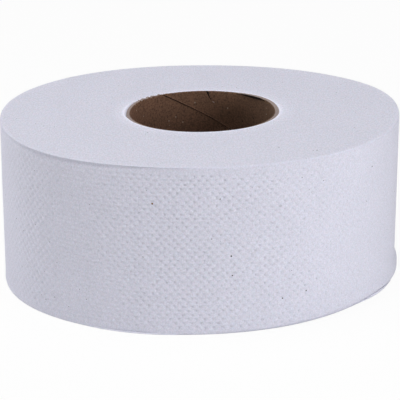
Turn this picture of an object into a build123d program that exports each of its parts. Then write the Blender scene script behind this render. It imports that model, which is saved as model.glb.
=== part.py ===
from build123d import *
from math import cos, radians, sin
import os

# A jumbo roll of bath tissue, wound on a tube of grey-brown board, standing on its end.
# Millimetres, +Z up. The origin is on the tube's axis, level with the roll's lower end.

# The roll as a whole
roll_width = 94.0
roll_diameter = 229.0
top_rim_chamfer = 0.8
lower_rim_chamfer = 1.8

# The board tube
bore_diameter = 84.0
board_thickness = 2.8

# The butt seam of the tube's innermost ply, an open helix in the bore
seam_rise_per_turn = 145.0
seam_width = 0.8
seam_depth = 0.4
seam_azimuth_at_top = 122.5
seam_overrun = 3.0

# The turns are a little looser on one side, so the outside drifts off the tube's axis
drift = 3.2
drift_azimuth = 229.0

# The line of the turns, cut as a spiral into both ends
turn_line_spacing = 9.5
turn_line_width = 0.7
turn_line_depth = 0.35

# The crushed foot, where the lowest centimetres swell out on one side
foot_azimuth = -20.0
foot_swell = 2.0
foot_reach = 48.0
foot_height = 19.0
foot_belly_height = 8.0
foot_tuck = 0.4
foot_ring_breadth = 20.0

# The tail of the last sheet: glued down, with its cut edge standing off the roll
sheet_thickness = 0.35
tail_azimuth = 100.0
tail_rise_angle = 55.0
tail_free_angle = 9.0
tail_lift = 0.8
tail_glue_line = 0.05
tail_root_depth = 0.5
tail_side_margin = 0.3

# Sizes that follow from the ones above
bore_radius = bore_diameter / 2
tube_radius = bore_radius + board_thickness
roll_radius = roll_diameter / 2
drift_line = Vector(cos(radians(drift_azimuth)), sin(radians(drift_azimuth)), 0)
roll_centre = drift_line * drift


def on_roll(azimuth, radius):
    """A point seen from the middle of the roll's outside."""
    return (radius * cos(radians(azimuth)), radius * sin(radians(azimuth)))


def upright_plane(origin, along):
    """A drawing plane that stands on edge: its x runs along the line given and its y is up."""
    return Plane(origin=origin, x_dir=along, z_dir=along.cross(Vector(0, 0, 1)))


# The board tube, cut square at both ends, with the helical seam inside
with BuildPart() as core_tube:
    with BuildSketch():
        Circle(tube_radius)
        Circle(bore_radius, mode=Mode.SUBTRACT)
    extrude(amount=roll_width)

    seam_height = roll_width + 2 * seam_overrun
    seam_start_azimuth = seam_azimuth_at_top - 360 * (roll_width + seam_overrun) / seam_rise_per_turn
    seam_start = Vector(0, 0, -seam_overrun)
    seam_heading = Vector(cos(radians(seam_start_azimuth)), sin(radians(seam_start_azimuth)), 0)
    with BuildLine(Plane(origin=seam_start, x_dir=seam_heading, z_dir=(0, 0, 1))):
        seam = Helix(seam_rise_per_turn, seam_height, bore_radius)
    with BuildSketch(Plane(origin=seam @ 0, x_dir=seam_heading, z_dir=seam % 0)):
        Rectangle(2 * seam_depth, seam_width)
    sweep(path=seam, is_frenet=True, mode=Mode.SUBTRACT)
core_tube.part.label = "core_tube"


# The swollen foot is a low ring set off to one side. It stands out of the wall by the swell
# there, dies away round the roll at the reach, and tucks back into the wall at its top.
foot_offset = foot_swell / (1 - cos(radians(foot_reach)))
foot_radius = roll_radius + foot_swell - foot_offset
foot_top_radius = foot_radius - foot_swell - foot_tuck
foot_line = Vector(cos(radians(foot_azimuth)), sin(radians(foot_azimuth)), 0)
foot_centre = roll_centre + foot_line * foot_offset
foot_inner_radius = foot_radius - foot_ring_breadth

# The paper wound on the tube
with BuildPart() as tissue_winding:
    with BuildSketch(Plane(origin=roll_centre)):
        Circle(roll_radius)
    extrude(amount=roll_width)

    with BuildSketch(upright_plane(foot_centre, foot_line)):
        with BuildLine():
            Line((foot_inner_radius, 0), (foot_radius, 0))
            Line((foot_radius, 0), (foot_radius, foot_belly_height))
            Line((foot_radius, foot_belly_height), (foot_top_radius, foot_height))
            Line((foot_top_radius, foot_height), (foot_inner_radius, foot_height))
            Line((foot_inner_radius, foot_height), (foot_inner_radius, 0))
        make_face()
    revolve(axis=Axis(foot_centre, (0, 0, 1)))
    chamfer(tissue_winding.edges().group_by(Axis.Z)[-1], top_rim_chamfer)
    chamfer(tissue_winding.edges().group_by(Axis.Z)[0], lower_rim_chamfer)

    with BuildSketch(Plane(origin=roll_centre + Vector(0, 0, tail_side_margin))):
        with BuildLine():
            tail_root = tail_azimuth - tail_rise_angle
            tail_glued_to = tail_azimuth - tail_free_angle
            tail_inner = roll_radius + tail_lift
            tail_outer = tail_inner + sheet_thickness
            tail_start = on_roll(tail_root, roll_radius - sheet_thickness / 2)
            ThreePointArc(
                tail_start,
                on_roll(tail_azimuth - tail_rise_angle / 2, roll_radius + sheet_thickness / 2),
                on_roll(tail_azimuth, tail_outer),
            )
            Line(on_roll(tail_azimuth, tail_outer), on_roll(tail_azimuth, tail_inner))
            ThreePointArc(
                on_roll(tail_azimuth, tail_inner),
                on_roll(tail_azimuth - tail_free_angle / 2, roll_radius + tail_lift / 2),
                on_roll(tail_glued_to, roll_radius + tail_glue_line),
            )
            Line(
                on_roll(tail_glued_to, roll_radius + tail_glue_line),
                on_roll(tail_glued_to, roll_radius - tail_root_depth),
            )
            ThreePointArc(
                on_roll(tail_glued_to, roll_radius - tail_root_depth),
                on_roll((tail_glued_to + tail_root) / 2, roll_radius - tail_root_depth),
                on_roll(tail_root, roll_radius - tail_root_depth),
            )
            Line(on_roll(tail_root, roll_radius - tail_root_depth), tail_start)
        make_face()
    extrude(amount=roll_width - 2 * tail_side_margin)

    with BuildSketch():
        Circle(tube_radius)
    extrude(amount=roll_width, mode=Mode.SUBTRACT)

    # Each half-turn is an arc about its own centre on the drift line. Every second one grows a
    # little more than the one before it, which carries the later turns off the tube's axis.
    winding_depth = roll_radius - tube_radius
    turn_count = int(winding_depth / turn_line_spacing)
    drift_per_turn = drift / turn_count
    growth = [
        (turn_line_spacing + drift_per_turn) / 2,
        (turn_line_spacing - drift_per_turn) / 2,
    ]
    turn_radius = tube_radius + turn_line_spacing / 2
    turn_centre = 0.0
    for half_turn in range(2 * turn_count - 1):
        turn_side = 1 if half_turn % 2 == 0 else -1
        centre = drift_line * turn_centre
        for end_height, inward in ((roll_width, -1), (0.0, 1)):
            with BuildSketch(upright_plane(centre + Vector(0, 0, end_height), drift_line)):
                with BuildLine():
                    Polyline(
                        (turn_radius, inward * turn_line_depth),
                        (turn_radius + turn_line_width, -inward * turn_line_depth),
                        (turn_radius - turn_line_width, -inward * turn_line_depth),
                        close=True,
                    )
                make_face()
            revolve(
                axis=Axis(centre, (0, 0, turn_side)),
                revolution_arc=180,
                mode=Mode.SUBTRACT,
            )
        turn_radius += growth[half_turn % 2]
        turn_centre += turn_side * growth[half_turn % 2]
tissue_winding.part.label = "tissue_winding"


os.makedirs("parts", exist_ok=True)
export_step(core_tube.part, "parts/core_tube.step")
export_step(tissue_winding.part, "parts/tissue_winding.step")
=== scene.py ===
import bpy
import math
import numpy as np
from mathutils import Matrix, Vector


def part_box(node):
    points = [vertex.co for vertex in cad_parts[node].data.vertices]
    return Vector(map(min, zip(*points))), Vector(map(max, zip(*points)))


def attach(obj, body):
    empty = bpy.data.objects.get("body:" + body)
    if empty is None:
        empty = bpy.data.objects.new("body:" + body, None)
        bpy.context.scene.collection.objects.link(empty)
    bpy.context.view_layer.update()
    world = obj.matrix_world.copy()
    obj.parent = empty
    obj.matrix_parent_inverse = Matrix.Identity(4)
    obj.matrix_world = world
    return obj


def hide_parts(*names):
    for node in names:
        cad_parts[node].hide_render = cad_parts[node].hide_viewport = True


# A jumbo roll of bath tissue on a tube of brown board. Sizes are in millimetres unless a
# name says otherwise, azimuths in degrees from +X, and MM turns millimetres into metres.
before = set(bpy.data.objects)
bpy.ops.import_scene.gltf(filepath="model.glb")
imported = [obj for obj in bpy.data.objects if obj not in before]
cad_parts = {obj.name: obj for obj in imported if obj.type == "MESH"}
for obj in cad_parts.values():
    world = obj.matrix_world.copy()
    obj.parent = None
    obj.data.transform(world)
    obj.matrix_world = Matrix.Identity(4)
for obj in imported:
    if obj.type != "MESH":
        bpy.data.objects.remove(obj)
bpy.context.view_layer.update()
MM = 0.001

# Sizes taken from the frame
_, tube_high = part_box("core_tube")
winding_low, winding_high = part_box("tissue_winding")
ROLL_WIDTH = winding_high.z / MM
TUBE_RADIUS = tube_high.x / MM

# The outside of the roll runs about its own middle, off the tube's axis. The paper between
# the embossed pits stands out by the pillow.
DRIFT = 3.2
DRIFT_AZIMUTH = 229.0
ROLL_CENTRE = np.array([
    DRIFT * math.cos(math.radians(DRIFT_AZIMUTH)),
    DRIFT * math.sin(math.radians(DRIFT_AZIMUTH)),
])
PILLOW = 0.06
ROLL_RADIUS = ROLL_CENTRE[0] - winding_low.x / MM - PILLOW

# The soft roll is not quite round: numbers of lobes, their size and the first one's azimuth
UNROUNDNESS = ((2, 1.95, -15.3), (3, 0.56, 13.6), (4, 1.22, 42.2))

# Its upper edge is fuller in places, by a size at each. A place round the roll is given as
# its middle azimuth and its reach to either side, here and below.
FULL_CORNERS = (((22.0, 26.0), 1.6), ((160.0, 24.0), 0.7))

# It leans a little, though its back is nearly upright, and its sides draw in and sway
LEAN = 3.2
LEAN_AZIMUTH = -116.7
UPRIGHT_SHARE = 0.85
UPRIGHT_PLACE = (90.0, 80.0)
SIDE_TAPER = 0.5
SIDE_SWAY = 0.08

# The crushed foot on one side, which reaches higher in front of its middle
FOOT_AZIMUTH = -25.0
FOOT_SWELL = 1.8
FOOT_REACH = 49.0
FOOT_HEIGHT = 10.4
FOOT_HEIGHT_IN_FRONT = 30.0
FOOT_FRONT_BLEND = 15.0
FOOT_BELLY_HEIGHT = 7.8

# The lower edge is rounded, most of all where the roll was crushed. It is pushed up there,
# with the outermost part of the end.
CORNER_SHARPNESS = 1.7
LOWER_ROUNDING = 0.95
CRUSHED_ROUNDING = 3.45
CRUSHED_PLACE = (-35.0, 75.0)
PUSHED_UP = 1.4
PUSHED_PLACE = (-37.0, 42.0)
PUSHED_FROM = 0.75

# The crease on the crushed foot: a lap of paper, open along its upper edge
CREASE_AZIMUTH = -33.0
CREASE_REACH = 12.0
CREASE_FOOT = 2.3
CREASE_HEIGHT = 1.5
CREASE_STAND = 0.06
CREASE_THICKNESS = 0.3
CREASE_THINNEST = 0.08
CREASE_COLUMNS = 41
CREASE_ROWS = 6

# The lip that the cut left along the top on one side, with a groove pinched in under it
LIP_PLACE = (-132.0, 46.0)
LIP_FLARE = 0.3
LIP_DEPTH = 3.0
LIP_POWER = 1.6
LIP_OVERHANG = 0.7
LIP_PINCH = 1.15
LIP_PINCH_DEPTH = 1.2
LIP_PINCH_END = 3.4

# The spread lower edge in front is sharper. The turns under the outermost one come out there,
# by a share of SPREAD_TURNS at each height.
SPREAD_PLACE = (-109.0, 22.0)
SPREAD_SHARPENING = 0.6
SPREAD_SHARP_PLACE = (-109.0, 30.8)
SPREAD_TURNS = 1.4
SPREAD_SHAPE = (
    (0, 0.9), (0.1, 0.9), (0.4, 0.85), (0.8, 0.7), (0.95, -0.1), (1.3, -0.1), (1.6, 0),
)

# Where the foot of the wall draws in or flares out: places, sizes, heights and powers. The
# higher the power, the nearer it keeps to the edge.
FOOT_FLARES = ((SPREAD_PLACE, -0.4, 2.2, 1.1), ((-154.0, 28.0), 0.9, 7.0, 1.5))

# The outermost turn, with its wavering lower and upper cuts
SHEET_THICKNESS = 0.35
SHEET_TOP_DROP = 0.5
SHEET_TOP_WAVER = 0.1
SHEET_FOOT_RISE = 0.25
SHEET_FOOT_WAVER = 0.08
SPREAD_FOOT_RISE = 0.9

# Its tail rises off the roll. Near the cut its edge wavers, in degrees, and its corners curl.
TAIL_AZIMUTH = 100.0
TAIL_RISE_ANGLE = 55.0
TAIL_LIFT = 0.8
CUT_COLUMNS = 14
CUT_WAVER = 0.35
CUT_WAVER_LENGTH = 17.0
CUT_RAGGEDNESS = 0.12
CORNER_CURL = 0.35
CORNER_CURL_POWER = 6
FLAP_CLEARANCE = 0.05

# The embossing: rows of small pits, each row half a pitch along from the one below
COLUMNS_AROUND = 306
FLAP_COLUMNS = 8
ROW_PITCH = 2.35
LOWEST_ROW = 3.4
ROW_COUNT = 37
PIT_STRAY_COLUMNS = 0.2
PIT_STRAY_HEIGHT = 0.3

# A pit has a middle, a floor and a rim. It is narrower than high, its middle is off to one
# side and up, and the lower half of its rim is drawn out.
PIT_SIDES = 6
PIT_FLOOR_RADIUS = 0.12
PIT_FLOOR_SHARE = 0.85
PIT_RIM_RADIUS = 0.28
PIT_NARROWING = 0.75
PIT_SLANT = (0.04, 0.07)
PIT_DRAWN_OUT = 0.3

# How deep the pits are. Chance spreads their depths, less so the larger the evenness.
PIT_DEPTH = 0.55
PIT_EVENNESS = 2.2
SHALLOWEST_PIT = 0.02
DEEPEST_PIT = 0.95
FLAP_PIT_DEPTH = 0.25

# The pits were pressed flat on two sides and are firm between them: places, and changes in
# depth. They are patchy by so much.
PIT_PRESSING = (((-165.0, 58.0), -1.0), ((-25.0, 95.0), -1.0), ((-115.0, 42.0), 1.35))
PIT_PATCHINESS = 0.4

# The turns under the outermost one keep clear of its pits between these heights
UNDERLAY_GAP = 0.04
UNDERLAY_TUCK = 1.0
TUCK_HEIGHTS = (2.2, 3.2, 12.0, 25.0, 45.0, 68.0, 90.0, 91.2)

# The ends of the roll, whose unevenness is given as sizes, paces and starts
RIM_ROUNDING = 0.35
# End rows past the rim's rounding that also take the rim's painted highlight
RIM_BREADTH = 1
BELOW_RIM = (2.0, 1.4, 0.9, RIM_ROUNDING + 0.03)
# Rows of the spread foot that take a painted highlight
FOOT_HIGHLIGHT_ROWS = 3
TURNS_SHOWN = 22
SAMPLES_PER_TURN = 5
TURN_RELIEF = 0.05
END_FADE = 0.03
END_UNEVENNESS = ((0.6, 9, 1), (0.4, 31, 2))
END_WAVES = 0.5

# Paper and tube have parted a little on one side, where the tube is thinner too. The parting
# is so many times as deep as broad, at its edge and at its root.
BORE_EDGE_GAP = 0.06
PARTED_GAP = 0.22
PARTED_PLACE = (178.0, 60.0)
PARTED_UNEVENNESS = 0.4
PARTED_DEPTHS_BELOW = (1.8, 1.9)
PARTED_DEPTHS_ABOVE = (9.0, 9.5)
RING_THINNING = 0.6

# The board tube: outer plies, and an innermost ply whose edges leave an open helical seam
BORE_RADIUS = 42.0
OUTER_PLIES = 3
TUBE_COLUMNS = 540
TUBE_FOOT = 0.3
PLY_THICKNESS = 0.42
PLY_LAP = 0.04
SEAM_RISE_PER_TURN = 145.0
SEAM_AZIMUTH_AT_TOP = 122.5
SEAM_GAP = 1.0

# How far the frayed edges of the outer plies lie below the cut: the outermost, each ply's two
# corners and joint, and the innermost
OUTERMOST_DROP = 0.35
PLY_DROPS = (0.04, 0.0, 0.28)
PLY_CORNER = 0.12
INNERMOST_DROP = 0.1
FRAY = 0.05

# The tube's upper cut lies below the paper and out of square. It is higher at the back, with
# a bevel, and ragged at the back left.
TUBE_DROP = 0.35
TUBE_SLANT = 0.45
BACK_RISE = 0.95
BACK_RISE_RANGE = (-0.1, 0.5)
BACK_PLACE = (90.0, 55.0)
BACK_BEVEL = 0.95
RAGGED = 0.08
RAGGED_MORE = 0.8
RAGGED_PLACE = (137.0, 34.0)

# The innermost ply: its rows, which crowd toward the top, its ends, its rolled edges along
# the seam, and its ripples
INNER_COLUMNS = 300
INNER_ROWS = 70
INNER_CROWDING = 0.8
INNER_FOOT = 0.4
INNER_RISE = 0.05
ROLLED_EDGE = 0.12
ROLLED_REACH = 1.2
RIPPLE = 0.03

# It has come loose at the back right, where it stands inward near the top and is torn lower,
# with a crevice behind it, drawn as a strip of painted shade
PEEL_PLACE = (44.0, 19.0)
PEEL_INWARD = 0.5
PEEL_HEIGHT = 4.0
PEEL_DROP = 0.55
CREVICE_PLACE = (42.0, 19.0)
CREVICE_ENDS = (60.0, 28.0)
CREVICE_COLUMNS = 17
CREVICE_BREADTH = 0.15
CREVICE_MORE = 1.2

# The tear in the tube's edge, a strip of painted shade, and the pale chip at its end: azimuths,
# heights and breadths
TEAR = (
    (85.5, 94.4, 2.0), (84.9, 93.0, 1.1), (84.1, 91.2, 0.8), (82.6, 89.4, 0.6), (81.3, 88.2, 0.3),
)
TEAR_CHIP = ((81.6, 88.3, 0.3), (80.4, 87.7, 0.6), (79.6, 87.4, 0.3))
MARK_SINK = 0.2
MARK_STAND = 0.15

# The largest flecks: azimuth, height, size and kind (0 ink, 1 bark), or x, y and size
SIDE_FLECKS = (
    (-103.1, 73.7, 1.4, 1), (-81.8, 44.4, 1.3, 0), (-67.8, 18.0, 1.2, 0), (-60.8, 20.2, 1.0, 0),
    (-81.6, 33.6, 0.9, 0), (-84.6, 76.5, 1.0, 0), (-35.4, 79.5, 1.1, 0),
)
TOP_FLECKS = (
    (-31.0, -44.6, 0.9), (41.4, -78.0, 1.1), (55.0, -99.8, 0.9), (61.6, -85.3, 1.2),
    (85.2, -42.1, 0.9), (109.8, -9.3, 0.8),
)

# The others lie by chance, within these bounds
SIDE_FLECK_COUNT = 110
FLECK_HEIGHTS = (3, 91)
SIDE_FLECK_SIZES = (0.35, 0.7)
TOP_FLECK_COUNT = 70
FLECK_RADII = (50, 108)
TOP_FLECK_SIZES = (0.3, 0.7)
FLECK_SINK = 0.04
CHIP_SIDES = 6
CHIP_RISE = 0.06
CHIP_REACH = (0.6, 1.2)

# Colours. A painted highlight lightens the paper next to the tube: this far from the tube, by this
# much.
PAPER_COLOUR = (0.693, 0.692, 0.794)
PAINTED_HALO = ((2.4, 0.22), (11.0, 0.08))
PAINTED_HALO_START = 0.3
FIBRE_CONTRAST = 0.54
TINT_CONTRAST = (0.14, 0.06, 0.08)
SAW_DRAW = 3.0
FIBRES_TO_METRE = 1300
FLECK_GREY = (0.16, 0.15, 0.17, 1.0)
FLECK_BLACK = (0.03, 0.03, 0.035, 1.0)
FLECK_BROWN = (0.30, 0.15, 0.04, 1.0)
FLECK_BROWN_DARK = (0.06, 0.025, 0.01, 1.0)
PAINTED_SHADE_DARK = (0.006, 0.004, 0.003, 1.0)
PAINTED_SHADE_LIGHT = (0.02, 0.012, 0.009, 1.0)
BOARD_RED = (0.188, 0.095, 0.059, 1.0)
BOARD_GREY = (0.140, 0.078, 0.046, 1.0)
BOARD_DARK = (0.042, 0.026, 0.018, 1.0)
PALE_FIBRE = (0.42, 0.34, 0.27, 1.0)
DARK_FIBRE = (0.012, 0.008, 0.006, 1.0)
CUT_BOARD = (0.46, 0.38, 0.36, 1.0)
CUT_BOARD_DARK = (0.24, 0.19, 0.17, 1.0)
FLOOR_DARKER = (0.80, 0.80, 0.80, 1.0)
FLOOR_LIGHTER = (0.82, 0.82, 0.82, 1.0)

# Lamps: name, azimuth, elevation, size in metres and power in watts
LAMP_DISTANCE = 1.6
LAMPS = (
    ("key", -48.5, 12, 0.5, 13.25),
    ("left", 170, 12, 0.5, 4.4),
    ("left_front", 189, 12, 0.5, 4.5),
    ("left_high", 180, 65, 0.9, 4.41),
    ("overhead", -90, 86, 1.2, 15.1),
)
ROOM_LIGHT = 0.06

CAMERA_ELEVATION = 17.842
CAMERA_DISTANCE = 1200.0
CAMERA_AIM = (-2.166, -2.4, 40.117)
CAMERA_ROLL = -0.954
FOCAL_LENGTH = 183.54


def smooth_step(value, low, high):
    """0 below low, 1 above high, and an even curve between."""
    share = np.clip((value - low) / (high - low), 0, 1)
    return share * share * (3 - 2 * share)


def hump(azimuth, middle, reach):
    """1 at the middle azimuth, falling evenly to 0 at the reach on either side."""
    away = np.abs((azimuth - middle + 180) % 360 - 180)
    return 0.5 + 0.5 * np.cos(np.pi * np.clip(away / reach, 0, 1))


def waves(azimuth, counts, seed):
    """A slow wavering, between about -1 and 1, made of so many waves round the roll."""
    phases = np.random.default_rng(seed).uniform(0, 2 * np.pi, len(counts))
    angles = np.radians(azimuth)
    return sum(np.sin(n * angles + p) for n, p in zip(counts, phases)) / len(counts)


def round_about(centre, azimuth, radius, height):
    """Points at an azimuth, radius and height about an upright axis, in the same grid."""
    angles = np.radians(azimuth)
    x = centre[0] + radius * np.cos(angles)
    y = centre[1] + radius * np.sin(angles)
    return np.stack(np.broadcast_arrays(x, y, height), axis=-1)


def make_piece(name, points, faces, materials, smooth=True):
    """A mesh object from points in millimetres, riding on the roll's one body."""
    mesh = bpy.data.meshes.new(name)
    mesh.from_pydata((np.asarray(points) * MM).tolist(), [], faces)
    for material in materials:
        mesh.materials.append(material)
    mesh.polygons.foreach_set("use_smooth", [smooth] * len(mesh.polygons))
    mesh.update()
    piece = bpy.data.objects.new(name, mesh)
    bpy.context.scene.collection.objects.link(piece)
    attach(piece, "root")
    return piece


def add_points(points, grid):
    """Adds a grid of points to a list, and gives their numbers in the same grid."""
    first = sum(len(part) for part in points)
    points.append(grid.reshape(-1, 3))
    return first + np.arange(len(points[-1])).reshape(grid.shape[:-1])


def strip_faces(lower, upper, closed=False):
    """Quads between two rows of point numbers."""
    if closed:
        lower, upper = [*lower, lower[0]], [*upper, upper[0]]
    return list(zip(lower, lower[1:], upper[1:], upper))


def joined_rows(rows, closed):
    """Points and faces of a body of rows, each joined to the next and the last to the first."""
    numbers = np.arange(len(rows) * len(rows[0])).reshape(len(rows), -1)
    faces = []
    for row in range(len(rows)):
        faces += strip_faces(numbers[row], numbers[(row + 1) % len(rows)], closed)
    if not closed:
        faces += [tuple(numbers[:, 0]), tuple(numbers[::-1, -1])]
    return np.concatenate(rows), faces


def colour_rows(piece, kinds):
    """Gives each row of a piece's faces the material with its number."""
    columns = len(piece.data.polygons) // len(kinds)
    piece.data.polygons.foreach_set("material_index", np.repeat(kinds, columns).tolist())


# Form of the roll's wall

def foot_swell(azimuth, height):
    """How far the crushed foot stands out of the wall."""
    off_axis = np.cos(np.radians(azimuth - FOOT_AZIMUTH))
    edge = math.cos(math.radians(FOOT_REACH))
    round_it = np.clip((off_axis - edge) / (1 - edge), 0, 1)
    turned = (azimuth + 180) % 360 - 180
    in_front = smooth_step(FOOT_AZIMUTH + FOOT_FRONT_BLEND - turned, 0, 2 * FOOT_FRONT_BLEND)
    top = FOOT_HEIGHT + (FOOT_HEIGHT_IN_FRONT - FOOT_HEIGHT) * in_front
    down_it = np.clip((top - height) / (top - FOOT_BELLY_HEIGHT), 0, 1)
    return FOOT_SWELL * round_it * (1 - (1 - down_it) ** 2)


def outline_radius(azimuth, height):
    """Radius of the soft roll's outline at a height, without its foot, lip and edges."""
    angles = np.radians(azimuth)
    up = height / ROLL_WIDTH
    lean = LEAN * (1 - UPRIGHT_SHARE * hump(azimuth, *UPRIGHT_PLACE))
    radius = ROLL_RADIUS + lean * (1 - up) * np.cos(angles - math.radians(LEAN_AZIMUTH))
    for lobes, size, turned in UNROUNDNESS:
        radius = radius + size * np.cos(lobes * (angles - math.radians(turned)))
    for place, size in FULL_CORNERS:
        radius = radius + size * up * hump(azimuth, *place)
    return radius + SIDE_TAPER * (2 * up - 1) * np.cos(angles) ** 2


def lower_edge(azimuth):
    """Height of the roll's lower edge, which the crushing pushed up a little."""
    return PUSHED_UP * hump(azimuth, *PUSHED_PLACE)


def lower_rounding(azimuth):
    """Radius of the lower edge."""
    sharper = SPREAD_SHARPENING * hump(azimuth, *SPREAD_SHARP_PLACE)
    crushed = CRUSHED_ROUNDING * hump(azimuth, *CRUSHED_PLACE)
    return LOWER_ROUNDING * (1 - sharper) + crushed


def upper_lip(azimuth, down):
    """How far the lip stands out, so far below the top, and how far the groove goes in."""
    here = hump(azimuth, *LIP_PLACE)
    lip = LIP_FLARE * here * np.clip(1 - down / LIP_DEPTH, 0, 1) ** LIP_POWER
    pinch = np.clip(down / LIP_PINCH_DEPTH, 0, 1)
    pinch = pinch * (1 - smooth_step(down, LIP_PINCH_DEPTH, LIP_PINCH_END))
    return lip, LIP_PINCH * here * pinch


def wall_radius(azimuth, height):
    """Radius of the wall about the roll's middle, without embossing or tail."""
    corner = lower_rounding(azimuth)
    below = np.clip(corner - (height - lower_edge(azimuth)), 0, corner)
    tucked = corner * (below / corner) ** CORNER_SHARPNESS
    lip, pinch = upper_lip(azimuth, ROLL_WIDTH - height)
    swell = foot_swell(azimuth, height) - pinch
    radius = outline_radius(azimuth, height) + swell - tucked + lip
    for place, size, end, power in FOOT_FLARES:
        near_foot = np.clip(1 - height / end, 0, 1)
        radius = radius + size * hump(azimuth, *place) * near_foot ** power
    sway = SIDE_SWAY * waves(azimuth, (6, 7, 9), seed=11)
    return radius + sway * np.sin(np.pi * height / ROLL_WIDTH)


# The outermost turn

def tail_lift(azimuth):
    """How far the tail has risen, for azimuths that keep counting up along the web."""
    along = np.clip((azimuth - (TAIL_AZIMUTH + 360 - TAIL_RISE_ANGLE)) / TAIL_RISE_ANGLE, 0, 1)
    return (TAIL_LIFT + SHEET_THICKNESS) * along ** 2


def sheet_heights(azimuth):
    """Heights of the outermost turn's rows, from cut to cut, and the first embossed row."""
    low_shares = np.array([0, 0.05, 0.12, 0.22, 0.36, 0.55, 0.77])
    top_shares = np.array([0.3, 0.6, 0.85, 1.0])
    foot = SHEET_FOOT_RISE + SPREAD_FOOT_RISE * hump(azimuth, *SPREAD_PLACE)
    foot = foot + SHEET_FOOT_WAVER * waves(azimuth, (3, 7, 13), seed=21) + lower_edge(azimuth)
    top = ROLL_WIDTH - SHEET_TOP_DROP + SHEET_TOP_WAVER * waves(azimuth, (2, 5, 11), seed=22)
    highest_row = LOWEST_ROW + ROW_PITCH * ROW_COUNT
    low_rows = foot + low_shares[:, None] * (LOWEST_ROW - foot)
    mid_rows = LOWEST_ROW + ROW_PITCH * np.arange(ROW_COUNT + 1)
    mid_rows = np.repeat(mid_rows[:, None], len(azimuth), axis=1)
    top_rows = highest_row + top_shares[:, None] * (top - highest_row)
    return np.concatenate([low_rows, mid_rows, top_rows]), len(low_shares)


def underlay_tuck(height):
    """How far the layer under the embossed sheet draws back at one of its heights."""
    return UNDERLAY_TUCK if TUCK_HEIGHTS[1] <= height <= TUCK_HEIGHTS[-2] else 0.0


def pit_firmness(azimuth, height):
    """How much of the embossing is left where the roll was pressed in its carton."""
    left = 1.0
    for place, change in PIT_PRESSING:
        left = left + change * hump(azimuth, *place)
    patches = np.sin(np.radians(9 * azimuth) + height / 11)
    patches = patches * np.sin(np.radians(5 * azimuth) - height / 17)
    return left * (1 + PIT_PATCHINESS * patches)


def pit_points(azimuth, left, row, rng):
    """Points of a row of pits: for each, its middle, its floor and its rim."""
    count = len(left)
    firmness = pit_firmness(azimuth[left + 1], LOWEST_ROW + ROW_PITCH * row)
    depth = PIT_DEPTH * firmness * rng.gamma(PIT_EVENNESS, 1 / PIT_EVENNESS, count)
    depth = depth.clip(SHALLOWEST_PIT, DEEPEST_PIT)
    on_flap = left + 2 >= COLUMNS_AROUND
    depth = np.where(on_flap, depth.clip(0, FLAP_PIT_DEPTH), depth)
    middle_column = left + 1 + rng.uniform(-PIT_STRAY_COLUMNS, PIT_STRAY_COLUMNS, count)
    middle_height = LOWEST_ROW + ROW_PITCH * (row + 0.5)
    middle_height = middle_height + rng.uniform(-PIT_STRAY_HEIGHT, PIT_STRAY_HEIGHT, count)

    column_breadth = math.radians(360 / COLUMNS_AROUND) * ROLL_RADIUS
    side_angles = np.radians(30 + 60 * np.arange(PIT_SIDES))
    rings = []
    for radius, share in ((0.0, 1.0), (PIT_FLOOR_RADIUS, PIT_FLOOR_SHARE), (PIT_RIM_RADIUS, 0.0)):
        angles = side_angles if radius else side_angles[:1]
        aside, above = (share * part for part in PIT_SLANT)
        across = PIT_NARROWING * radius * np.cos(angles) + aside
        column = middle_column[:, None] + across / column_breadth
        drawn_out = np.where(np.sin(angles) < 0, 1 + PIT_DRAWN_OUT * (1 - share), 1.0)
        height = middle_height[:, None] + radius * (drawn_out * np.sin(angles)) + above
        round_it = np.interp(column, np.arange(len(azimuth)), azimuth)
        wall = wall_radius(round_it, height) + tail_lift(round_it)
        sunk = share * depth[:, None] - (0 if share else PILLOW)
        rings.append(round_about(ROLL_CENTRE, round_it, wall - sunk, height))
    return np.concatenate(rings, axis=1)


def pit_faces(pit, low, high):
    """Faces of one pit, three to a side: of its floor, its slope and the wall round it."""
    middle, floor, rim = np.split(pit, (1, 1 + PIT_SIDES))
    wall = [*high[::-1], *low]
    faces = []
    for side in range(PIT_SIDES):
        after = (side + 1) % PIT_SIDES
        faces.append((middle[0], floor[side], floor[after]))
        faces.append((floor[side], rim[side], rim[after], floor[after]))
        faces.append((rim[side], wall[side], wall[after], rim[after]))
    return faces


def emboss(points, faces, grid, azimuth, first_row, rng):
    """Adds the rows of pits, and gives the numbers of their sunken faces."""
    sunken = []
    for row in range(ROW_COUNT):
        low, high = grid[first_row + row], grid[first_row + row + 1]
        start = row % 2
        if start:
            faces += strip_faces(low[:2], high[:2])
            faces += strip_faces(low[-2:], high[-2:])
        left = np.arange(start, len(azimuth) - 2, 2)
        pits = add_points(points, pit_points(azimuth, left, row, rng))
        for pit, column in zip(pits, left):
            sunken += [len(faces) + 3 * side + k for side in range(PIT_SIDES) for k in (0, 1)]
            faces += pit_faces(pit, low[column:column + 3], high[column:column + 3])
    return sunken


def line_sheet(points, faces, grid, under, azimuth, heights):
    """Adds the sheet's inner face, and its cut edges at the bottom and top."""
    around = slice(0, COLUMNS_AROUND)
    inner_heights = [heights[0, around]]
    inner_heights += [np.full(COLUMNS_AROUND, height) for height in TUCK_HEIGHTS]
    inner_heights.append(heights[-1, around])
    inner_rows = []
    for height in inner_heights:
        radius = wall_radius(azimuth[around], height)
        radius = radius - (SHEET_THICKNESS + underlay_tuck(height[0]))
        inner = round_about(ROLL_CENTRE, azimuth[around], radius, height)
        inner_rows.append(add_points(points, inner))
    for lower, upper in zip(inner_rows, inner_rows[1:]):
        faces += strip_faces(upper, lower, closed=True)
    for row, inner, sign in ((0, inner_rows[0], 1), (-1, inner_rows[-1], -1)):
        edge = strip_faces(inner, grid[row, around])
        edge.append((
            inner[-1], inner[0], grid[row, 0],
            grid[row, COLUMNS_AROUND], grid[row, COLUMNS_AROUND - 1],
        ))
        edge += strip_faces(under[row], grid[row, COLUMNS_AROUND:])
        faces += [face[::sign] for face in edge]


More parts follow.
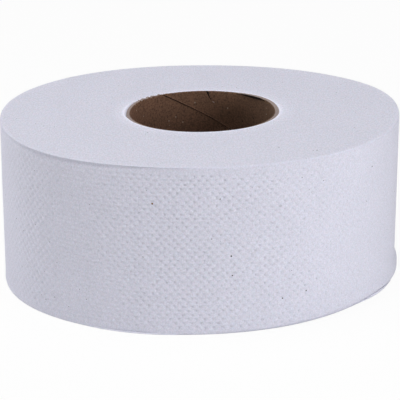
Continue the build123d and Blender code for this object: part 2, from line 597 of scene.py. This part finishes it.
def build_outer_turn(materials):
    """The last turn of the web: embossed, with its tail standing off the roll at the cut."""
    rng = np.random.default_rng(5)
    columns = COLUMNS_AROUND + FLAP_COLUMNS
    from_start = np.arange(columns + 1)
    azimuth = TAIL_AZIMUTH + (from_start - FLAP_COLUMNS) * (360 / COLUMNS_AROUND)
    heights, first_row = sheet_heights(azimuth)
    rows = len(heights)
    near_cut = np.clip((from_start - columns + CUT_COLUMNS) / CUT_COLUMNS, 0, 1) ** 2
    ragged = rng.uniform(-CUT_RAGGEDNESS, CUT_RAGGEDNESS, rows)
    waver = CUT_WAVER * np.sin(heights[:, -1] / CUT_WAVER_LENGTH) + ragged
    turned = azimuth + near_cut * waver[:, None]
    from_middle = np.abs(heights / ROLL_WIDTH * 2 - 1)
    lifted = tail_lift(azimuth) + CORNER_CURL * near_cut * from_middle ** CORNER_CURL_POWER
    radius = wall_radius(turned, heights) + lifted
    points, faces = [], []
    grid = add_points(points, round_about(ROLL_CENTRE, turned, radius + PILLOW, heights))
    for row in range(rows - 1):
        if not first_row <= row < first_row + ROW_COUNT:
            faces += strip_faces(grid[row], grid[row + 1])
    sunken = emboss(points, faces, grid, azimuth, first_row, rng)

    # The underside of the free flap, which meets the wall where the turn begins
    flap = slice(COLUMNS_AROUND + 1, None)
    resting = wall_radius(turned[:, flap], heights[:, flap]) + FLAP_CLEARANCE
    under_radius = np.maximum(radius[:, flap] - SHEET_THICKNESS, resting)
    under = round_about(ROLL_CENTRE, turned[:, flap], under_radius, heights[:, flap])
    under = np.concatenate([grid[:, :1], add_points(points, under)], axis=1)
    for row in range(rows - 1):
        faces += strip_faces(under[row + 1], under[row])
        faces.append((grid[row, -1], under[row, -1], under[row + 1, -1], grid[row + 1, -1]))

    line_sheet(points, faces, grid, under, azimuth, heights)
    piece = make_piece("outer_turn", np.concatenate(points), faces, materials)
    for number in sunken:
        piece.data.polygons[number].use_smooth = False
    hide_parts("tissue_winding")


def build_crease(materials):
    """A lap of the outermost paper, pushed up along the crushed foot, thin at both ends."""
    azimuth = CREASE_AZIMUTH + CREASE_REACH * np.linspace(-1, 1, CREASE_COLUMNS)
    size = CREASE_THINNEST + (1 - CREASE_THINNEST) * hump(azimuth, CREASE_AZIMUTH, CREASE_REACH)
    foot = lower_edge(azimuth) + CREASE_FOOT
    hidden = wall_radius(azimuth, foot) - CREASE_THICKNESS
    upright = wall_radius(azimuth, foot + CREASE_HEIGHT * size) + PILLOW
    outer, inner = [], []
    for share in np.linspace(0, 1, CREASE_ROWS):
        height = foot + share * CREASE_HEIGHT * size
        radius = upright + CREASE_STAND * size * share + CREASE_THICKNESS
        outer.append(round_about(ROLL_CENTRE, azimuth, radius, height))
        behind = radius - CREASE_THICKNESS if share else hidden
        inner.append(round_about(ROLL_CENTRE, azimuth, behind, height))
    points, faces = joined_rows(outer + inner[::-1], closed=False)
    piece = make_piece("foot_crease", points, faces, materials)
    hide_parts("tissue_winding")


# The wound turns under it, with both ends of the roll

def end_relief(azimuth, share):
    """Relief of the turns on an end: a spiral of soft ridges with a slow unevenness."""
    phase = TURNS_SHOWN * share - azimuth / 360
    ridge = 0.5 - 0.5 * np.cos(2 * np.pi * phase)
    fade = smooth_step(share, 0, END_FADE) * smooth_step(1 - share, 0, END_FADE)
    uneven = sum(size * np.sin(pace * share + start) for size, pace, start in END_UNEVENNESS)
    uneven = uneven + END_WAVES * waves(azimuth, (1, 2, 3), seed=31)
    return -fade * TURN_RELIEF * np.maximum(0, ridge + 0.5 * (1 + uneven))


def build_wound_turns(materials):
    """Every turn but the last, as one body from the tube to the outermost turn."""
    azimuth = 360 * np.arange(COLUMNS_AROUND) / COLUMNS_AROUND
    clearance = SHEET_THICKNESS + UNDERLAY_GAP
    bore_gap = BORE_EDGE_GAP + PARTED_GAP * hump(azimuth, *PARTED_PLACE)
    bore_radius = TUBE_RADIUS + ring_shift(azimuth)
    lower = lower_edge(azimuth)
    loops = []

    def add_bore(height, radius):
        loops.append(round_about((0, 0), azimuth, radius, height))

    def add_wall(heights, tuck):
        for height, inward in zip(heights, tuck):
            radius = wall_radius(azimuth, height) - clearance - inward
            loops.append(round_about(ROLL_CENTRE, azimuth, radius, height))

    def add_end(height, outside, direction):
        parted = bore_gap * (1 + PARTED_UNEVENNESS * waves(azimuth, (5, 9, 23), seed=41))
        inside = round_about((0, 0), azimuth, bore_radius + parted, height)
        samples = TURNS_SHOWN * SAMPLES_PER_TURN
        for share in (np.arange(1, samples) / samples)[::-direction]:
            loop = inside + share * (outside - inside)
            loop[:, 2] = height + direction * end_relief(azimuth, share)
            if direction < 0:
                loop[:, 2] += lower * smooth_step(share, PUSHED_FROM, 1)
            loops.append(loop)

    foot_rows, spread_shares = np.array(SPREAD_SHAPE).T
    bottom_spread = SPREAD_TURNS * hump(azimuth, *SPREAD_PLACE)
    bottom_radius = wall_radius(azimuth, lower) - clearance + bottom_spread
    bottom_edge = round_about(ROLL_CENTRE, azimuth, bottom_radius, 0.0)
    arc = np.radians(np.linspace(0, 90, 5))
    rim_heights = ROLL_WIDTH - RIM_ROUNDING + RIM_ROUNDING * np.sin(arc)
    rim_tuck = RIM_ROUNDING * (1 - np.cos(arc))
    overhang = LIP_OVERHANG * hump(azimuth, *LIP_PLACE)

    # From the bore's lower edge, out over the lower end, up the wall and back over the top
    edge, root = PARTED_DEPTHS_BELOW
    add_bore(root * bore_gap, bore_radius)
    add_bore(edge * bore_gap, bore_radius + bore_gap)
    add_end(0.0, bottom_edge, -1)
    first_foot_row = len(loops)
    foot_heights = [lower + row * (1 - lower / TUCK_HEIGHTS[0]) for row in foot_rows]
    add_wall(foot_heights, [-bottom_spread * share for share in spread_shares])
    add_wall(TUCK_HEIGHTS, [underlay_tuck(height) for height in TUCK_HEIGHTS])
    add_wall(ROLL_WIDTH - np.array(BELOW_RIM), [0.0] * len(BELOW_RIM))
    first_rim_row = len(loops)
    add_wall(rim_heights, [tuck - overhang for tuck in rim_tuck])
    add_end(ROLL_WIDTH, loops[-1], 1)
    edge, root = PARTED_DEPTHS_ABOVE
    add_bore(ROLL_WIDTH - edge * bore_gap, bore_radius + bore_gap)
    add_bore(ROLL_WIDTH - root * bore_gap, bore_radius)

    points, faces = joined_rows(loops, closed=True)
    piece = make_piece("wound_turns", points, faces, materials)
    kinds = np.zeros(len(loops), int)
    # The spread foot's rows take the paper with a painted highlight
    kinds[first_foot_row:first_foot_row + FOOT_HIGHLIGHT_ROWS] = 2
    # The rim's rows take the rim paper with its painted highlight
    kinds[first_rim_row:first_rim_row + len(arc) + RIM_BREADTH] = 1
    colour_rows(piece, kinds)
    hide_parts("tissue_winding")


# The board tube

def ring_shift(azimuth):
    """How far the tube's outside stands off its nominal radius: thinner at the left."""
    return -RING_THINNING * hump(azimuth, *PARTED_PLACE)


def tube_top(azimuth):
    """Height of the tube's upper cut, a little out of square and ragged at the back left."""
    toward_back = np.sin(np.radians(azimuth))
    slant = TUBE_SLANT * (1 - toward_back)
    slant = slant - BACK_RISE * smooth_step(toward_back, *BACK_RISE_RANGE)
    ragged = RAGGED + RAGGED_MORE * hump(azimuth, *RAGGED_PLACE)
    teeth = waves(azimuth, (61, 97, 143, 211), seed=51)
    return ROLL_WIDTH - TUBE_DROP - slant + ragged * teeth


def ply_edges(outside, inside):
    """Section of the outer plies' cut edges: radii, and drops below the cut."""
    ply = (outside - inside) / OUTER_PLIES
    section = [(outside, OUTERMOST_DROP)]
    for number in range(OUTER_PLIES):
        edge = outside - number * ply
        radii = (edge - PLY_CORNER, edge - ply + PLY_CORNER, edge - ply)
        section += zip(radii, PLY_DROPS)
    section[-1] = (inside, INNERMOST_DROP)
    return section


def build_outer_plies(materials):
    """The tube's outer plies, whose cut edges show as fine rings at the ends."""
    azimuth = 360 * np.arange(TUBE_COLUMNS) / TUBE_COLUMNS
    outside = TUBE_RADIUS - PLY_LAP + ring_shift(azimuth)
    inside = BORE_RADIUS + PLY_THICKNESS
    section = ply_edges(outside, inside)
    loops = []
    for end in (0, 1):
        order = section if end else section[::-1]
        for number, (radius, drop) in enumerate(order):
            fray = FRAY * waves(azimuth, (37, 83, 127), seed=60 + number)
            if end:
                bevel = BACK_BEVEL * hump(azimuth, *BACK_PLACE)
                bevel = bevel * (radius - inside) / (outside - inside)
                height = tube_top(azimuth) - drop + fray - bevel
            else:
                height = TUBE_FOOT + drop + np.abs(fray)
            loops.append(round_about((0, 0), azimuth, radius, height))
    points, faces = joined_rows(loops, closed=True)
    piece = make_piece("core_outer_plies", points, faces, materials)

    # The last row of each end joins it to the other end, along the outside or the bore. These rows
    # take painted shade, which shows through the seam gap.
    kinds = np.zeros(len(loops), int)
    kinds[[len(section) - 1, len(loops) - 1]] = 1
    colour_rows(piece, kinds)
    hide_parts("core_tube")


def seam_azimuth(height):
    """Where the helical seam is at a height."""
    return SEAM_AZIMUTH_AT_TOP - (ROLL_WIDTH - height) * 360 / SEAM_RISE_PER_TURN


def ply_peel(azimuth, height):
    """How far the innermost ply stands inward where it has come loose."""
    near_top = np.clip(1 - (ROLL_WIDTH - height) / PEEL_HEIGHT, 0, 1) ** 2
    return PEEL_INWARD * hump(azimuth, *PEEL_PLACE) * near_top


def build_inner_ply(materials):
    """The innermost ply, a strip wound up the bore with a gap left open along its seam."""
    half_gap = math.degrees(SEAM_GAP / 2 / BORE_RADIUS)
    along = np.linspace(half_gap, 360 - half_gap, INNER_COLUMNS)
    level = (np.linspace(0, 1, INNER_ROWS) ** INNER_CROWDING)[:, None]
    at = seam_azimuth(level * ROLL_WIDTH) + along
    top = tube_top(at) + INNER_RISE - PEEL_DROP * hump(at, *PEEL_PLACE)
    height = INNER_FOOT + level * (top - INNER_FOOT)
    azimuth = seam_azimuth(height) + along

    from_edge = np.minimum(along - half_gap, 360 - half_gap - along)
    rolled = ROLLED_EDGE * np.exp(-from_edge / ROLLED_REACH)
    ripple = RIPPLE * waves(azimuth + 2 * height, (23, 41, 67), seed=71)
    faced = BORE_RADIUS + ripple - ply_peel(azimuth, height)
    points, faces = [], []
    inner = add_points(points, round_about((0, 0), azimuth, faced - rolled, height))
    backed = faced + (PLY_THICKNESS - PLY_LAP)
    outer = add_points(points, round_about((0, 0), azimuth, backed, height))
    for row in range(INNER_ROWS - 1):
        faces += strip_faces(inner[row + 1], inner[row])
        faces += strip_faces(outer[row], outer[row + 1])
        for one, other, column in ((outer, inner, 0), (inner, outer, -1)):
            faces.append((
                one[row, column], other[row, column], other[row + 1, column], one[row + 1, column],
            ))
    faces += strip_faces(inner[0], outer[0])
    faces += strip_faces(outer[-1], inner[-1])
    piece = make_piece("core_inner_ply", np.concatenate(points), faces, materials)
    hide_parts("core_tube")


# Small marks

def build_chips(name, chips, materials):
    """Tiny low mounds in the paper, each with a place, a way out, a size and a material."""
    rng = np.random.default_rng(81)
    points, faces, kinds = [], [], []
    for middle, outward, size, kind in chips:
        outward = np.asarray(outward, float)
        along = np.cross(outward, (0.2, 0.1, 1.0) if abs(outward[2]) < 0.9 else (1.0, 0, 0))
        along /= np.linalg.norm(along)
        across = np.cross(outward, along)
        start = len(points)
        points.append(middle + CHIP_RISE * outward)
        points.append(middle - CHIP_RISE * outward)
        turns = 360 / CHIP_SIDES * np.arange(CHIP_SIDES) + rng.uniform(-15, 15, CHIP_SIDES)
        for turn in np.radians(turns):
            reach = size / 2 * rng.uniform(*CHIP_REACH)
            points.append(middle + reach * (math.cos(turn) * along + math.sin(turn) * across))
        for side in range(CHIP_SIDES):
            one, after = start + 2 + side, start + 2 + (side + 1) % CHIP_SIDES
            faces += [(start, one, after), (start + 1, after, one)]
            kinds += [kind, kind]
    piece = make_piece(name, points, faces, materials, smooth=False)
    piece.data.polygons.foreach_set("material_index", kinds)
    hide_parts("tissue_winding")


def build_flecks(materials):
    """Bits of bark and ink left in the recycled paper, on the side and on the upper end."""
    rng = np.random.default_rng(82)
    side = list(SIDE_FLECKS)
    for _ in range(SIDE_FLECK_COUNT):
        azimuth, height = rng.uniform(-180, 180), rng.uniform(*FLECK_HEIGHTS)
        side.append((azimuth, height, rng.uniform(*SIDE_FLECK_SIZES), 0))
    top = list(TOP_FLECKS)
    for _ in range(TOP_FLECK_COUNT):
        turn, out = rng.uniform(0, 2 * np.pi), rng.uniform(*FLECK_RADII)
        top.append((out * math.cos(turn), out * math.sin(turn), rng.uniform(*TOP_FLECK_SIZES)))
    chips = []
    for azimuth, height, size, kind in side:
        radius = wall_radius(azimuth, height) + PILLOW
        radius = radius + tail_lift(azimuth + (360 if azimuth < TAIL_AZIMUTH else 0))
        middle = round_about(ROLL_CENTRE, azimuth, radius, height)
        turn = math.radians(azimuth)
        chips.append((middle, (math.cos(turn), math.sin(turn), 0), size, kind))
    level = ROLL_WIDTH - FLECK_SINK
    chips += [(np.array([x, y, level]), (0, 0, 1), size, 0) for x, y, size in top]
    build_chips("paper_flecks", chips, materials)


def build_bore_strip(name, path, materials):
    """A thin strip lying on the bore along a path of azimuths, heights and breadths."""
    azimuth, height, breadth = (np.array(column, float) for column in zip(*path))
    peel = ply_peel(azimuth, height)
    run = np.gradient(np.radians(azimuth)) * BORE_RADIUS
    rise = np.gradient(height)
    slope = rise / np.maximum(np.hypot(run, rise), 1e-6)
    rows = []
    for side, inward in ((-1, MARK_STAND), (-1, -MARK_SINK), (1, -MARK_SINK), (1, MARK_STAND)):
        shift = side * breadth / 2
        at = azimuth + np.degrees(shift * np.abs(slope) / BORE_RADIUS)
        level = height + shift * np.sqrt(1 - np.clip(slope, -1, 1) ** 2)
        rows.append(round_about((0, 0), at, BORE_RADIUS - peel - inward, level))
    points, faces = joined_rows(rows, closed=False)
    piece = make_piece(name, points, faces, materials)
    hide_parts("core_tube")


def build_tears(dark, pale):
    """A short tear in the tube's edge at the back, and the crevice where a ply has let go, both
    strips of painted shade.
    """
    build_bore_strip("core_tear", TEAR, [dark])
    build_bore_strip("core_tear_chip", TEAR_CHIP, [pale])
    azimuth = np.linspace(*CREVICE_ENDS, CREVICE_COLUMNS)
    height = tube_top(azimuth) - PEEL_DROP
    breadth = CREVICE_BREADTH + CREVICE_MORE * hump(azimuth, *CREVICE_PLACE)
    build_bore_strip("core_ply_crevice", list(zip(azimuth, height, breadth)), [dark])


# Materials

def add_node(tree, kind, settings=None, inputs=None):
    """A shader node, with its settings and the values or links of its inputs."""
    made = tree.nodes.new(kind)
    for name, value in (settings or {}).items():
        setattr(made, name, value)
    for name, value in (inputs or {}).items():
        if isinstance(value, bpy.types.NodeSocket):
            tree.links.new(value, made.inputs[name])
        else:
            made.inputs[name].default_value = value
    return made


def math_node(tree, operation, first, second=0.0, third=0.0):
    """A number worked out from up to three others."""
    made = add_node(tree, "ShaderNodeMath", {"operation": operation},
                    {0: first, 1: second, 2: third})
    return made.outputs[0]


def vector_node(tree, operation, inputs, output="Vector"):
    """A vector, or its length as the Value, worked out from others."""
    made = add_node(tree, "ShaderNodeVectorMath", {"operation": operation}, inputs)
    return made.outputs[output]


def clamp(tree, value):
    """A number kept between 0 and 1."""
    return add_node(tree, "ShaderNodeClamp", None, {0: value}).outputs[0]


def mix_colour(tree, factor, first, second):
    """A colour between two others."""
    made = add_node(tree, "ShaderNodeMix", {"data_type": "RGBA"},
                    {"Factor": factor, "A": first, "B": second})
    return made.outputs["Result"]


def laid_over(tree, base, share, strength, colour):
    """A colour laid over a base where the share is 1, with so much strength."""
    return mix_colour(tree, math_node(tree, "MULTIPLY", share, strength), base, colour)


def make_material(name):
    """An empty procedural material, and its tree, shader and position on the object."""
    material = bpy.data.materials.new(name)
    material.use_nodes = True
    tree = material.node_tree
    shader = tree.nodes["Principled BSDF"]
    place = add_node(tree, "ShaderNodeTexCoord").outputs["Object"]
    return material, tree, shader, place


def set_surface(tree, shader, colour, roughness, specular):
    """Gives a surface its colour and how it shines."""
    tree.links.new(colour, shader.inputs["Base Color"])
    shader.inputs["Roughness"].default_value = roughness
    shader.inputs["Specular IOR Level"].default_value = specular


def add_bump(tree, shader, height, strength, distance_mm):
    """Gives a surface a relief."""
    bump = add_node(tree, "ShaderNodeBump", None,
                    {"Strength": strength, "Distance": distance_mm * MM, "Height": height})
    tree.links.new(bump.outputs["Normal"], shader.inputs["Normal"])


def noise(tree, place, scale, detail=2.0, output="Fac"):
    """A soft noise between 0 and 1 with so many lumps to the metre."""
    made = add_node(tree, "ShaderNodeTexNoise", None,
                    {"Vector": place, "Scale": scale, "Detail": detail})
    return made.outputs[output]


def distance_out(tree, place):
    """How far a place is from the upright axis."""
    flat = vector_node(tree, "MULTIPLY", {0: place, 1: (1, 1, 0)})
    return vector_node(tree, "LENGTH", {0: flat}, "Value")


def polar_place(tree, place, centre, round_scale, out_scale, up_scale):
    """Position as distances round, out from and up an upright axis, each to its own scale."""
    moved = vector_node(tree, "SUBTRACT", {0: place, 1: (centre[0] * MM, centre[1] * MM, 0)})
    parts = add_node(tree, "ShaderNodeSeparateXYZ", None, {0: moved}).outputs
    angle = math_node(tree, "ARCTAN2", parts["Y"], parts["X"])
    made = add_node(tree, "ShaderNodeCombineXYZ", None, {
        0: math_node(tree, "MULTIPLY", angle, round_scale),
        1: math_node(tree, "MULTIPLY", distance_out(tree, moved), out_scale),
        2: math_node(tree, "MULTIPLY", parts["Z"], up_scale),
    })
    return made.outputs[0]


def specks(tree, place, scale, size, kept):
    """Small spots: 1 on a spot and 0 off it, with a share of the cells holding a spot."""
    cells = add_node(tree, "ShaderNodeTexVoronoi", None, {"Vector": place, "Scale": scale})
    near = math_node(tree, "LESS_THAN", cells.outputs["Distance"], size)
    drawn = add_node(tree, "ShaderNodeSeparateColor", None, {0: cells.outputs["Color"]})
    chosen = math_node(tree, "GREATER_THAN", drawn.outputs["Red"], 1 - kept)
    return math_node(tree, "MULTIPLY", near, chosen)


def painted_halo(tree, place):
    """How much a painted highlight lightens the paper next to the tube, by distance from it."""
    out = distance_out(tree, place)
    start = TUBE_RADIUS + PAINTED_HALO_START
    share = 1.0
    for breadth, more in PAINTED_HALO:
        away = add_node(tree, "ShaderNodeMapRange", {"interpolation_type": "SMOOTHSTEP"}, {
            "Value": out, "From Min": start * MM, "From Max": (start + breadth) * MM,
            "To Min": more, "To Max": 0.0,
        }).outputs[0]
        share = math_node(tree, "ADD", share, away)
    return share


def crepe_place(tree, place):
    """Fine crepe: creases that run up the web, close together round it."""
    return polar_place(tree, place, ROLL_CENTRE, round_scale=330, out_scale=0, up_scale=130)


def turn_edge_place(tree, place):
    """The cut edges of the turns: long round the roll and fine across it."""
    return polar_place(tree, place, ROLL_CENTRE / 2, round_scale=12, out_scale=1400, up_scale=0)


def paper_material(name, streak_place, streak_strength, drawn_out=1.0, painted_highlight_factor=1.0):
    """White recycled tissue: a lavender white with felted fibre, faint flecks and a soft nap.

    The saw that cut the ends drew the fibres out along its way by so much. A highlight factor above
    1 lightens all of it, as a painted highlight."""
    material, tree, shader, place = make_material(name)
    streaks = noise(tree, streak_place(tree, place), 1.0, detail=3)
    # pressed is the painted highlight next to the tube, a factor on the colour
    pressed = painted_halo(tree, place)
    place = add_node(tree, "ShaderNodeMapping", None,
                     {"Vector": place, "Scale": (1, 1 / drawn_out, 1)}).outputs[0]
    cloud = noise(tree, place, 45, detail=4)
    felt = noise(tree, place, 1100, detail=3)
    fibre = noise(tree, place, FIBRES_TO_METRE)
    lightest = min(painted_highlight_factor * (1 + FIBRE_CONTRAST / 2), 1 / max(PAPER_COLOUR))
    darkest = painted_highlight_factor * (1 - FIBRE_CONTRAST / 2)
    light = [lightest * part for part in PAPER_COLOUR] + [1.0]
    shade = [darkest * part for part in PAPER_COLOUR] + [1.0]
    tone = math_node(tree, "MULTIPLY_ADD", cloud, 0.1, math_node(tree, "MULTIPLY", fibre, 0.9))
    colour = mix_colour(tree, tone, shade, light)
    tint = noise(tree, place, 900, detail=1, output="Color")
    lowest_tint = [1 - part / 2 for part in TINT_CONTRAST]
    tint = vector_node(tree, "MULTIPLY_ADD", {0: tint, 1: TINT_CONTRAST, 2: lowest_tint})
    colour = vector_node(tree, "MULTIPLY", {0: colour, 1: tint})
    colour = vector_node(tree, "SCALE", {0: colour, "Scale": pressed})
    spots = specks(tree, place, scale=190, size=0.05, kept=0.3)
    colour = laid_over(tree, colour, spots, 0.3, FLECK_GREY)
    set_surface(tree, shader, colour, roughness=0.92, specular=0.2)
    shader.inputs["Sheen Weight"].default_value = 0.06
    shader.inputs["Sheen Roughness"].default_value = 0.6
    height = math_node(tree, "MULTIPLY_ADD", fibre, 0.5, felt)
    height = math_node(tree, "MULTIPLY_ADD", streaks, streak_strength, height)
    add_bump(tree, shader, height, strength=0.5, distance_mm=0.25)
    return material


def board_face_material():
    """Recycled brown board, redder to one side, mottled, with pale and dark fibres."""
    material, tree, shader, place = make_material("board_face")
    parts = add_node(tree, "ShaderNodeSeparateXYZ", None, {0: place}).outputs
    side = math_node(tree, "MULTIPLY_ADD", parts["X"], 10.0, 0.5)
    patch = math_node(tree, "MULTIPLY_ADD", noise(tree, place, 60, detail=3), 0.8, -0.4)
    blend = clamp(tree, math_node(tree, "ADD", side, patch))
    base = mix_colour(tree, blend, BOARD_RED, BOARD_GREY)
    mottle = noise(tree, place, 1000, detail=3)
    mottle = clamp(tree, math_node(tree, "MULTIPLY_ADD", mottle, 3.2, -1.25))
    base = laid_over(tree, base, mottle, 0.8, BOARD_DARK)
    pale = specks(tree, place, scale=260, size=0.12, kept=0.2)
    base = laid_over(tree, base, pale, 0.5, PALE_FIBRE)
    dark = specks(tree, place, scale=330, size=0.14, kept=0.2)
    base = laid_over(tree, base, dark, 0.8, DARK_FIBRE)
    set_surface(tree, shader, base, roughness=0.85, specular=0.25)
    add_bump(tree, shader, noise(tree, place, 900, detail=4), strength=0.5, distance_mm=0.12)
    return material


def board_edge_material():
    """The board's cut edge: paler, in fine rings, furred by the saw."""
    material, tree, shader, place = make_material("board_edge")
    ringed = polar_place(tree, place, (0, 0), round_scale=30, out_scale=5200, up_scale=0)
    rings = noise(tree, ringed, 1.0)
    fur = noise(tree, place, 1500, detail=4)
    tone = math_node(tree, "MULTIPLY_ADD", rings, 1.3, math_node(tree, "MULTIPLY", fur, 0.5))
    tone = clamp(tree, math_node(tree, "SUBTRACT", tone, 0.4))
    colour = mix_colour(tree, tone, CUT_BOARD_DARK, CUT_BOARD)
    set_surface(tree, shader, colour, roughness=0.95, specular=0.1)
    add_bump(tree, shader, fur, strength=0.6, distance_mm=0.15)
    return material


def plain_mark_material(name, dark, light):
    """A small mark: a speck of bark or ink, or painted shade in cracks and gaps, unevenly coloured.
    """
    material, tree, shader, place = make_material(name)
    colour = mix_colour(tree, noise(tree, place, FIBRES_TO_METRE), dark, light)
    set_surface(tree, shader, colour, roughness=0.9, specular=0.1)
    return material


def seen_directly(tree):
    """1 for what the camera sees, also in a gloss, and the sorts of rays."""
    path = add_node(tree, "ShaderNodeLightPath").outputs
    return math_node(tree, "MAXIMUM", path["Is Camera Ray"], path["Is Glossy Ray"]), path


def floor_material():
    """A pale floor that the camera sees almost white, and that still takes a soft shadow."""
    material, tree, shader, place = make_material("pale_floor")
    tree.nodes.remove(shader)
    grain = mix_colour(tree, noise(tree, place, 3), FLOOR_DARKER, FLOOR_LIGHTER)
    diffuse = add_node(tree, "ShaderNodeBsdfDiffuse", None, {"Color": grain}).outputs[0]
    white = add_node(tree, "ShaderNodeEmission", None, {"Strength": 1.0}).outputs[0]
    seen, _ = seen_directly(tree)
    share = math_node(tree, "MULTIPLY", seen, 0.95)
    mixed = add_node(tree, "ShaderNodeMixShader", None, {0: share, 1: diffuse, 2: white}).outputs[0]
    tree.links.new(mixed, tree.nodes["Material Output"].inputs["Surface"])
    return material


# Stage, light and camera

def build_floor():
    """A wide flat floor under the roll."""
    half = 4.0
    mesh = bpy.data.meshes.new("floor")
    mesh.from_pydata([(-half, -half, 0), (half, -half, 0), (half, half, 0), (-half, half, 0)],
                     [], [(0, 1, 2, 3)])
    mesh.materials.append(floor_material())
    floor = bpy.data.objects.new("floor", mesh)
    bpy.context.scene.collection.objects.link(floor)


def aim(thing, target):
    """Turns a camera or lamp so that its -Z looks at the target, upright."""
    away = thing.location - target
    thing.rotation_euler = away.to_track_quat("Z", "Y").to_euler()


def add_lamp(name, azimuth, elevation, size, power):
    """A square soft lamp that looks at the roll."""
    lamp = bpy.data.lights.new(name, "AREA")
    lamp.shape = "SQUARE"
    lamp.size = size
    lamp.energy = power
    holder = bpy.data.objects.new(name, lamp)
    turn, rise = math.radians(azimuth), math.radians(elevation)
    target = Vector((0, 0, ROLL_WIDTH / 2 * MM))
    holder.location = target + LAMP_DISTANCE * Vector((
        math.cos(turn) * math.cos(rise), math.sin(turn) * math.cos(rise), math.sin(rise)
    ))
    aim(holder, target)
    bpy.context.scene.collection.objects.link(holder)


def light_the_room(strength):
    """An even pale room that the camera sees as white."""
    world = bpy.data.worlds.new("room")
    world.use_nodes = True
    bpy.context.scene.world = world
    tree = world.node_tree
    seen, path = seen_directly(tree)
    seen = math_node(tree, "MAXIMUM", seen, path["Is Transmission Ray"])
    level = math_node(tree, "MULTIPLY_ADD", seen, 1 - strength, strength)
    background = tree.nodes["Background"]
    background.inputs["Color"].default_value = (1, 1, 1, 1)
    tree.links.new(level, background.inputs["Strength"])


def place_camera():
    """The camera, at the height and distance that the roll was seen from."""
    data = bpy.data.cameras.new("camera")
    data.sensor_width = 36.0
    data.lens = FOCAL_LENGTH
    data.clip_end = 20.0
    camera = bpy.data.objects.new("camera", data)
    bpy.context.scene.collection.objects.link(camera)
    rise = math.radians(CAMERA_ELEVATION)
    target = Vector(CAMERA_AIM) * MM
    camera.location = target + CAMERA_DISTANCE * MM * Vector((0, -math.cos(rise), math.sin(rise)))
    aim(camera, target)
    look = camera.rotation_euler.to_matrix() @ Matrix.Rotation(math.radians(CAMERA_ROLL), 3, "Z")
    camera.rotation_euler = look.to_euler()
    bpy.context.scene.camera = camera


side_paper = paper_material("tissue_side", crepe_place, streak_strength=0.5)
end_paper = paper_material("tissue_end", turn_edge_place, 0.9, SAW_DRAW)
# The rim paper is lightened as a painted highlight along the rounded top rim
rim_paper_painted_highlight = paper_material("tissue_rim_painted_highlight", turn_edge_place, 0.9, SAW_DRAW, painted_highlight_factor=1.08)
# The foot paper is lightened as a painted highlight along the spread lower edge
foot_paper_painted_highlight = paper_material("tissue_foot_painted_highlight", crepe_place, streak_strength=0.5, painted_highlight_factor=1.5)
board_face = board_face_material()
board_edge = board_edge_material()
ink = plain_mark_material("fleck_ink", FLECK_BLACK, FLECK_GREY)
bark = plain_mark_material("fleck_bark", FLECK_BROWN_DARK, FLECK_BROWN)
# Painted shade: dark board for the seam gap, the tear and the crevice
crack_painted_shade = plain_mark_material("board_crack_painted_shade", PAINTED_SHADE_DARK, PAINTED_SHADE_LIGHT)
build_outer_turn([side_paper])
build_crease([side_paper])
build_wound_turns([end_paper, rim_paper_painted_highlight, foot_paper_painted_highlight])
build_outer_plies([board_edge, crack_painted_shade])
build_inner_ply([board_face])
build_tears(crack_painted_shade, board_edge)
build_flecks([ink, bark])
build_floor()
light_the_room(ROOM_LIGHT)
for lamp in LAMPS:
    add_lamp(*lamp)
place_camera()
bpy.context.scene.view_settings.view_transform = "Standard"
